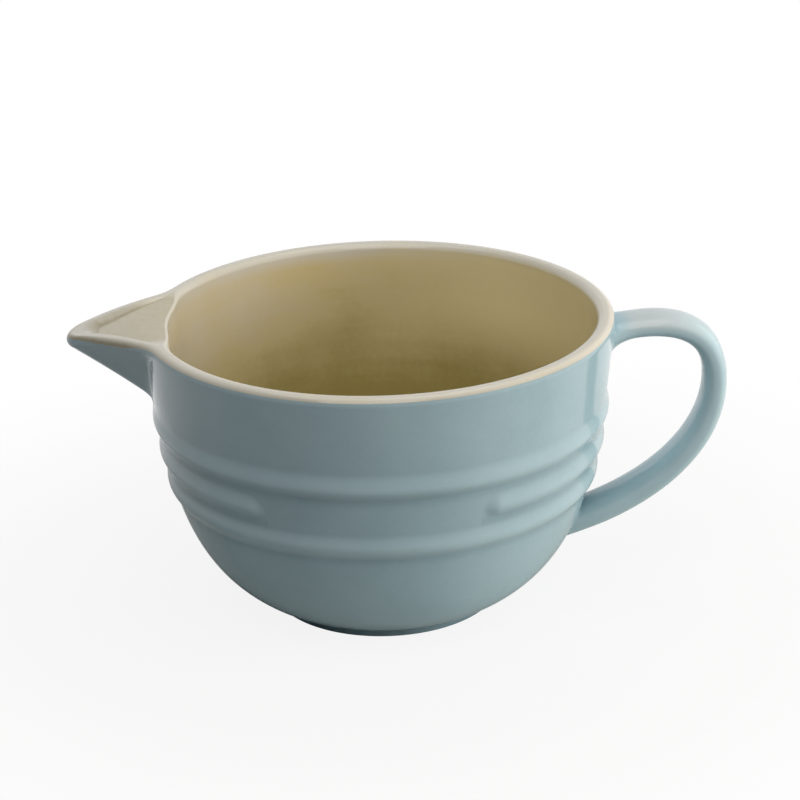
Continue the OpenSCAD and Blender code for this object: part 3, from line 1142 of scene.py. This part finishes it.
        # Painted light: the pale colour on the upper inside wall on the handle's side.
        upper = form.below_rim(*glazing.painted_light_depths, z) * form.below_rim(*glazing.painted_light_ends, z)
        pale = upper * smooth_step(*glazing.painted_light_angles, np.abs(a)) * within
        slope = slice(self.lip_rows, self.lip_rows + self.side_rows - 1)
        level = slice(slope.stop, slope.stop + self.top_rows)
        place = self.side_place(a * np.ones_like(r[slope]), r[slope]) * window
        # Mixes the clay colour down the trough's far slope, fuller towards its valley line.
        worn = glazing.slope_tan * place * smooth_step(*glazing.slope_shares, jut)
        edge[slope] = np.maximum(edge[slope], worn)
        edge[level] = np.maximum(edge[level], glazing.trough_bare * window)
        pool_and_shade[level] = np.maximum(pool_and_shade[level], glazing.trough * window)
        return {Trait.POOL_AND_SHADE: pool_and_shade, Trait.EDGE: edge, Trait.PAINTED_LIGHT: pale}

    def inside(self) -> Grid:
        """Cream inside from the rim's coat line over the rim and down to the middle of the floor.

        Returns:
            The sheet, with the glaze's depth and painted shade, its bare edge and its painted light.
        """
        a = self.angles[None, :]
        top_r = self.top_radii(a)
        top = (top_r, self.top_z(a * np.ones_like(top_r), top_r))
        below = self.into_bowl(a, top[1][-1:])
        r, z = (np.concatenate(rows) for rows in zip(self.rim_rounding(a, 90.0), top, below))
        points = self.placed(r, z)
        return Grid(points, self.inside_traits(r, z, points))

    def lathe(self, name: str, profile: np.ndarray, material: bpy.types.Material) -> bpy.types.Object:
        """Turns a closed profile round the jug's axis.

        Args:
            name: Name of the piece.
            profile: Radii and heights, anticlockwise.
            material: Finish of the piece.

        Returns:
            The new object.
        """
        r = profile[:, :1] * np.ones((1, len(self.angles)))
        points = self.placed(r, profile[:, 1:])
        faces = ring_faces(len(profile), len(self.angles), 0, True, close_rows=True)
        return make_piece(name, points.reshape(-1, 3), faces, {}, material)

    def foot_profile(self) -> np.ndarray:
        """Profile of the bare foot ring, with worn round edges.

        Returns:
            Radii and heights of a closed outline.
        """
        form = self.form
        t = np.linspace(0.0, 1.0, 6)
        outer, inner = form.foot_r - self.ring_inset, form.foot_r - form.foot_w
        worn, (edge_w, edge_h) = self.ring_inner_round, self.ring_outer_round
        low_in = bezier(np.array([(inner, worn), (inner, 0.0), (inner + worn, 0.0)]), t)
        low_out = bezier(np.array([(outer - edge_w, 0.0), (outer, 0.0), (outer, edge_h)]), t)
        (lap_w, lap_h), (fillet_w, fillet_h) = self.ring_lap, self.ring_fillet
        top = [(outer, form.foot_h), (inner - lap_w, form.foot_h + lap_h)]
        return np.concatenate([low_in, low_out, top, [(inner - fillet_w, form.foot_h - fillet_h)]])

    def base_profile(self) -> np.ndarray:
        """Profile of the base above the foot's recess, slightly domed.

        Returns:
            Radii and heights of a closed outline.
        """
        form = self.form
        rim = form.foot_r - form.foot_w + self.base_lap
        r = np.linspace(self.base_middle, rim, 18)
        under = np.stack([r, form.foot_h + self.base_dome * (1.0 - (r / rim) ** 2)], axis=1)
        top_z = form.foot_h + self.base_t
        return np.concatenate([under, [(rim, top_z), (self.base_middle, top_z)]])

    def build(self, blue: BlueGlaze, cream: CreamGlaze, clay: BareStoneware) -> list[bpy.types.Object]:
        """Builds the bowl's pieces, ties them to the body and hides the solids that each one stands for.

        Args:
            blue: Finish of the outside.
            cream: Finish of the inside.
            clay: Finish of the foot and the base.

        Returns:
            The pieces.
        """
        coat_t = self.form.coat_t
        coat = make_coat("blue_coat", self.outside(), coat_t, False, False, blue.material())
        lining = make_coat(
            "cream_lining", self.inside(), coat_t, True, True, cream.material(), self.lining_sharp
        )
        bare = clay.material()
        foot = self.lathe("bare_foot_ring", self.foot_profile(), bare)
        base = self.lathe("bare_base", self.base_profile(), bare)
        stands_for = (
            (coat, Slot.BLUE, ("bowl_glaze", "spout_glaze")),
            (lining, Slot.CREAM, ("bowl_lining", "spout_lining")),
            (foot, Slot.BARE, ("foot_ring",)),
            (base, Slot.BARE, ("stoneware_bowl", "stoneware_spout")),
        )
        for piece, slot, nodes in stands_for:
            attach(piece, BODY)
            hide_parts(*nodes)
        return [coat, lining, foot, base]


@dataclass(frozen=True)
class HandleGlazing:
    """How deep the blue coat lies on the handle, and the painted highlight over its crown.

    Root lengths and the crown's start are in millimetres, its end is a share of the handle's length, and the
    top is given by the cosine of the angle round the strap.
    """

    plain: float = 0.25
    corner: float = 0.15
    corner_power: int = 3
    root: float = 0.3
    upper_root: float = 4.0
    lower_root: float = 2.0
    # Painted highlight and painted reflection: share of the pale colour on the crown's top side.
    pale: float = 0.65
    crown_start: tuple[float, float] = (2.0, 10.0)
    crown_end: tuple[float, float] = (0.3, 0.12)
    top: tuple[float, float] = (-0.2, 0.5)


@dataclass
class Handle:
    """The strap handle, glazed in one with the wall, with a soft fillet at its upper root."""

    form: JugForm
    glazing: HandleGlazing = HandleGlazing()
    width: float = 20.0
    top_t: float = 8.6
    low_t: float = 11.8
    reach: float = 41.0
    drop: float = 9.1
    crown_drop: float = 5.1
    crown_reach: float = 18.3
    mid_z: float = 90.5
    drop_z: float = 67.0
    sweep_reach: float = 21.3
    sweep_z: float = 42.4
    low_z: float = 29.4
    square: float = 2.5
    sides: int = 72
    curve_steps: int = 1500
    fillet_rings: int = 14
    plain_rings: int = 110
    upper_fillet: tuple[float, float] = (5.5, 10.0)
    lower_fillet: tuple[float, float] = (1.6, 3.0)
    top_fillet_share: float = 0.12
    fillet_turn: tuple[float, float] = (0.75, -0.2)
    shift_len: float = 16.0
    sunk: float = 2.5
    wall_search: float = 25.0
    search_steps: int = 48

    def middle_line(self) -> np.ndarray:
        """Middle line of the strap in the plane of spout and handle.

        Returns:
            Runs from the upper root, distances from the axis and heights, evenly spaced to the lower root.
        """
        form = self.form
        back = np.array(180.0)
        far = form.rim_r + self.reach
        top_z, crown_z = form.rim_h - self.drop, form.rim_h - self.crown_drop
        top = [(float(form.outer_r(np.array(top_z), back)), top_z), (form.rim_r + self.crown_reach, crown_z)]
        top += [(far, crown_z), (far, self.mid_z)]
        low = [(far, self.mid_z), (far, self.drop_z), (form.rim_r + self.sweep_reach, self.sweep_z)]
        low += [(float(form.outer_r(np.array(self.low_z), back)), self.low_z)]
        t = np.linspace(0.0, 1.0, self.curve_steps)
        line = np.concatenate([bezier(np.array(top), t), bezier(np.array(low), t)[1:]])
        run = np.concatenate([[0.0], np.cumsum(np.linalg.norm(np.diff(line, axis=0), axis=1))])
        even = np.linspace(0.0, run[-1], 2 * self.curve_steps)
        return np.stack([even, np.interp(even, run, line[:, 0]), np.interp(even, run, line[:, 1])], axis=1)

    def stations(self, length: float) -> np.ndarray:
        """Places of the rings, close together in the fillets.

        Args:
            length: Length of the middle line.

        Returns:
            Distances from the upper root.
        """
        turn = np.linspace(0.0, np.pi / 2, self.fillet_rings)
        upper = self.upper_fillet[1] * (1.0 - np.cos(turn))
        lower = length - self.lower_fillet[1] * (1.0 - np.cos(turn[::2]))
        plain = np.linspace(self.upper_fillet[1], length - self.lower_fillet[1], self.plain_rings)[1:-1]
        return np.concatenate([upper, plain, lower[::-1]])

    def to_wall(self, points: np.ndarray, way: np.ndarray) -> np.ndarray:
        """Distances along a direction from points near the wall to the wall.

        Args:
            points: Points, one a row.
            way: Direction that leads out of the jug.

        Returns:
            One distance a point.
        """
        low, high = np.full(len(points), -self.wall_search), np.full(len(points), self.wall_search)
        for _ in range(self.search_steps):
            middle = (low + high) / 2
            at = points + middle[:, None] * way
            outside = np.hypot(at[:, 0], at[:, 1]) > self.form.outer_r(at[:, 2], np.full(len(at), 180.0))
            high = np.where(outside, middle, high)
            low = np.where(outside, low, middle)
        return (low + high) / 2

    @staticmethod
    def fillet(away: np.ndarray, size: tuple[float, float]) -> np.ndarray:
        """How far the strap widens at a distance from its root, for a fillet of a height and a length."""
        left = np.clip(1.0 - away / size[1], 0.0, 1.0)
        return size[0] * (1.0 - np.sqrt(1.0 - left**2))

    def traits(self, run: np.ndarray, length: float, turn: np.ndarray) -> dict[Trait, np.ndarray]:
        """Depth, bare edge and painted highlight of the handle's coat.

        Args:
            run: Distances of the rings from the upper root.
            length: Length of the middle line.
            turn: Angles round the strap, from its top.

        Returns:
            One value a point for each trait.
        """
        glazing = self.glazing
        corner = np.abs(np.sin(2 * turn)) ** glazing.corner_power * np.ones((len(run), 1))
        roots = np.exp(-((run / glazing.upper_root) ** 2))
        roots = roots + np.exp(-(((length - run) / glazing.lower_root) ** 2))
        pool_and_shade = glazing.plain - glazing.corner * corner + glazing.root * np.clip(roots, 0.0, 1.0)[:, None]
        end_start, end_full = (share * length for share in glazing.crown_end)
        crown = smooth_step(*glazing.crown_start, run) * smooth_step(end_start, end_full, run)
        # Painted highlight: the pale colour on the upper side of the crown.
        pale = glazing.pale * crown[:, None] * smooth_step(*glazing.top, np.cos(turn))
        return {Trait.POOL_AND_SHADE: pool_and_shade, Trait.EDGE: np.zeros_like(pool_and_shade), Trait.PAINTED_LIGHT: pale}

    def rings(self) -> Grid:
        """Rings of points from inside the wall at the upper root to inside it at the lower one.

        Returns:
            The rings, with the glaze's depth and the painted highlight over the crown.
        """
        line = self.middle_line()
        length = line[-1, 0]
        run = self.stations(length)
        slope = np.gradient(line[:, 1:], axis=0)
        centre = np.stack([np.interp(run, line[:, 0], line[:, k]) for k in (1, 2)], axis=1)
        way = np.stack([np.interp(run, line[:, 0], slope[:, k]) for k in (0, 1)], axis=1)
        way /= np.linalg.norm(way, axis=1, keepdims=True)
        turn = np.linspace(0.0, 2 * np.pi, self.sides, endpoint=False)[None, :]
        bulge = [np.sign(v) * np.abs(v) ** (2 / self.square) for v in (np.cos(turn), np.sin(turn))]
        least = self.top_fillet_share
        below = least + (1.0 - least) * smooth_step(*self.fillet_turn, np.cos(turn))
        grow = self.fillet(run, self.upper_fillet)[:, None] * below
        grow = grow + self.fillet(length - run, self.lower_fillet)[:, None]
        half_t = (self.top_t + (self.low_t - self.top_t) * run / length)[:, None] / 2
        out = (half_t + grow) * bulge[0]
        side = (self.width / 2 + grow) * bulge[1]
        points = np.stack([centre[:, :1] - way[:, 1:] * out, side, centre[:, 1:] + way[:, :1] * out], axis=2)
        for root, sign in ((0, 1.0), (-1, -1.0)):
            lead = sign * np.array([way[root, 0], 0.0, way[root, 1]])
            gap = self.to_wall(points[root], lead)
            near = run if root == 0 else length - run
            ease = np.clip(1.0 - near / self.shift_len, 0.0, 1.0) ** 2
            points = points + ease[:, None, None] * gap[None, :, None] * lead
            sunk = points[root] - self.sunk * lead
            points = np.concatenate([sunk[None], points] if root == 0 else [points, sunk[None]])
            run = np.concatenate([[0.0], run] if root == 0 else [run, [length]])
        return Grid(points, self.traits(run, length, turn))

    def build(self, blue: BlueGlaze) -> bpy.types.Object:
        """Builds the handle, ties it to the body and hides the solids that it stands for.

        Args:
            blue: Finish of the handle.

        Returns:
            The piece.
        """
        grid = self.rings()
        rows, cols, _ = grid.points.shape
        faces = ring_faces(rows, cols, 0, False)
        faces.append(tuple(range(cols - 1, -1, -1)))
        faces.append(tuple(range((rows - 1) * cols, rows * cols)))
        piece = make_piece("strap_handle", grid.points.reshape(-1, 3), faces, grid.traits, blue.material())
        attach(piece, BODY)
        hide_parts("handle_glaze", "stoneware_handle", "upper_slip_joint", "lower_slip_joint")
        return piece


@dataclass(frozen=True)
class Lamp:
    """One soft lamp, in metres, watts and an sRGB colour, which the glaze mirrors only where glint is set."""

    name: str
    place: tuple[float, float, float]
    aim: tuple[float, float, float]
    size: tuple[float, float]
    power: float
    colour: str = "FFFFFF"
    glint: bool = True

    def build(self) -> bpy.types.Object:
        """Adds the lamp to the scene.

        Returns:
            The lamp.
        """
        light = bpy.data.lights.new(self.name, "AREA")
        light.shape = "RECTANGLE"
        light.size, light.size_y = self.size
        light.energy = self.power
        light.color = linear(self.colour)[:3]
        lamp = bpy.data.objects.new(self.name, light)
        way = np.array(self.aim) - np.array(self.place)
        lamp.location = self.place
        flat = math.hypot(way[0], way[1])
        lamp.rotation_euler = (math.pi / 2 - math.atan2(-way[2], flat), 0.0, math.atan2(-way[0], way[1]))
        lamp.visible_camera = False
        lamp.visible_glossy = self.glint
        bpy.context.scene.collection.objects.link(lamp)
        return lamp


@dataclass
class Studio:
    """White paper floor, soft lamps, white surroundings and the camera of the photograph, in metres."""

    floor_r: float = 1.4
    floor_sides: int = 96
    floor_colour: str = "D6D6D4"
    floor_lift: float = 0.88
    fade: tuple[float, float] = (0.12, 0.32)
    fill: float = 0.09
    fill_colour: str = "E2F3FB"
    camera_aim: tuple[float, float, float] = (0.00783, 0.0, 0.0838)
    camera_away: float = 1.0
    camera_tilt: float = 21.89
    camera_roll: float = 1.506
    lens_mm: float = 110.2
    sensor_mm: float = 36.0
    nearest: float = 0.01
    lamps: tuple[Lamp, ...] = (
        Lamp("right_softbox", (0.84, -0.18, 0.18), (0.0, 0.0, 0.06), (0.85, 0.4), 7.2, "FFF7EC", glint=False),
        Lamp("back_softbox", (0.75, 0.45, 0.30), (0.0, 0.0, 0.08), (0.6, 0.5), 0.5),
        Lamp("upper_softbox", (0.60, -0.30, 0.60), (0.0, 0.0, 0.08), (0.6, 0.5), 0.5),
        Lamp("top_softbox", (0.0, 0.05, 0.80), (0.0, 0.0, 0.08), (0.6, 0.6), 1.65),
        Lamp("front_softbox", (-0.05, -0.55, 0.80), (0.0, 0.0, 0.10), (0.6, 0.5), 2.5, "FFFAF2"),
        Lamp("rear_softbox", (0.0, 0.55, 0.80), (0.0, 0.0, 0.10), (0.6, 0.5), 1.2, glint=False),
    )

    def paper(self) -> bpy.types.Material:
        """White paper that fades into the white surroundings.

        Returns:
            The material.
        """
        material = new_material("white_paper")
        tree = material.node_tree
        place = add_node(tree, "ShaderNodeTexCoord").outputs["Object"]
        away = add_node(tree, "ShaderNodeVectorMath", {0: place}, operation="LENGTH").outputs["Value"]
        gone = add_node(
            tree,
            "ShaderNodeMapRange",
            {"Value": away, "From Min": self.fade[0], "From Max": self.fade[1]},
            interpolation_type="SMOOTHSTEP",
        ).outputs[0]
        matt = add_node(tree, "ShaderNodeBsdfDiffuse", {"Color": linear(self.floor_colour)}).outputs[0]
        white = add_node(tree, "ShaderNodeEmission", {"Color": WHITE}).outputs[0]
        seen = add_node(tree, "ShaderNodeLightPath").outputs["Is Camera Ray"]
        lift = add_node(tree, "ShaderNodeMath", {0: seen, 1: self.floor_lift}, operation="MULTIPLY")
        lifted = add_node(tree, "ShaderNodeMixShader", {0: lift.outputs[0], 1: matt, 2: white}).outputs[0]
        clear = add_node(tree, "ShaderNodeBsdfTransparent").outputs[0]
        mixed = add_node(tree, "ShaderNodeMixShader", {0: gone, 1: lifted, 2: clear}).outputs[0]
        add_node(tree, "ShaderNodeOutputMaterial", {"Surface": mixed})
        return material

    def build_floor(self) -> bpy.types.Object:
        """Adds the round paper floor.

        Returns:
            The floor.
        """
        turn = np.linspace(0.0, 2 * np.pi, self.floor_sides, endpoint=False)
        ring = np.stack([self.floor_r * np.cos(turn), self.floor_r * np.sin(turn), 0 * turn], axis=1)
        mesh = bpy.data.meshes.new("paper_floor")
        mesh.from_pydata(ring.tolist(), [], [tuple(range(len(turn)))])
        mesh.materials.append(self.paper())
        floor = bpy.data.objects.new("paper_floor", mesh)
        bpy.context.scene.collection.objects.link(floor)
        return floor

    def build_surroundings(self) -> None:
        """Makes the surroundings white to the eye and in the glaze, and dim as a light."""
        world = bpy.data.worlds.new("white_room")
        bpy.context.scene.world = world
        world.use_nodes = True
        tree = world.node_tree
        tree.nodes.clear()
        rays = add_node(tree, "ShaderNodeLightPath").outputs
        seen = rays["Is Camera Ray"]
        for name in ("Is Glossy Ray", "Is Transmission Ray"):
            seen = add_node(tree, "ShaderNodeMath", {0: seen, 1: rays[name]}, operation="MAXIMUM").outputs[0]
        strength = add_node(tree, "ShaderNodeMapRange", {"Value": seen, "To Min": self.fill}).outputs[0]
        blend = {0: seen, MIX_FIRST: linear(self.fill_colour), MIX_SECOND: WHITE}
        colour = add_node(tree, "ShaderNodeMix", blend, data_type="RGBA").outputs[MIX_RESULT]
        shade = add_node(tree, "ShaderNodeBackground", {"Color": colour, "Strength": strength})
        add_node(tree, "ShaderNodeOutputWorld", {"Surface": shade.outputs[0]})

    def build_camera(self) -> bpy.types.Object:
        """Adds the camera at the photograph's angle.

        Returns:
            The camera.
        """
        tilt, roll = math.radians(self.camera_tilt), math.radians(self.camera_roll)
        ahead = np.array([0.0, math.cos(tilt), -math.sin(tilt)])
        right, up = np.array([1.0, 0.0, 0.0]), np.array([0.0, math.sin(tilt), math.cos(tilt)])
        turned_right = math.cos(roll) * right - math.sin(roll) * up
        turned_up = math.sin(roll) * right + math.cos(roll) * up
        place = np.array(self.camera_aim) - self.camera_away * ahead
        lens = bpy.data.cameras.new("camera")
        lens.lens = self.lens_mm
        lens.sensor_width = self.sensor_mm
        lens.clip_start = self.nearest
        camera = bpy.data.objects.new("camera", lens)
        matrix = np.eye(4)
        matrix[:3] = np.stack([turned_right, turned_up, -ahead, place], axis=1)
        camera.matrix_world = matrix.T.tolist()
        bpy.context.scene.collection.objects.link(camera)
        bpy.context.scene.camera = camera
        return camera

    def build(self) -> None:
        """Builds the floor, the surroundings, the lamps and the camera."""
        self.build_floor()
        self.build_surroundings()
        for lamp in self.lamps:
            lamp.build()
        self.build_camera()
        bpy.context.scene.view_settings.view_transform = "Standard"


def main() -> None:
    """Builds the jug and the studio."""
    logging.basicConfig(level=logging.INFO, format="%(name)s: %(message)s")
    form = JugForm()
    blue, cream, clay = BlueGlaze(), CreamGlaze(), BareStoneware()
    pieces = Bowl(form).build(blue, cream, clay) + [Handle(form).build(blue)]
    for piece in pieces:
        LOG.info("%s has %d faces", piece.name, len(piece.data.polygons))
    Studio().build()
    bpy.context.view_layer.update()


if __name__ == "__main__":
    main()
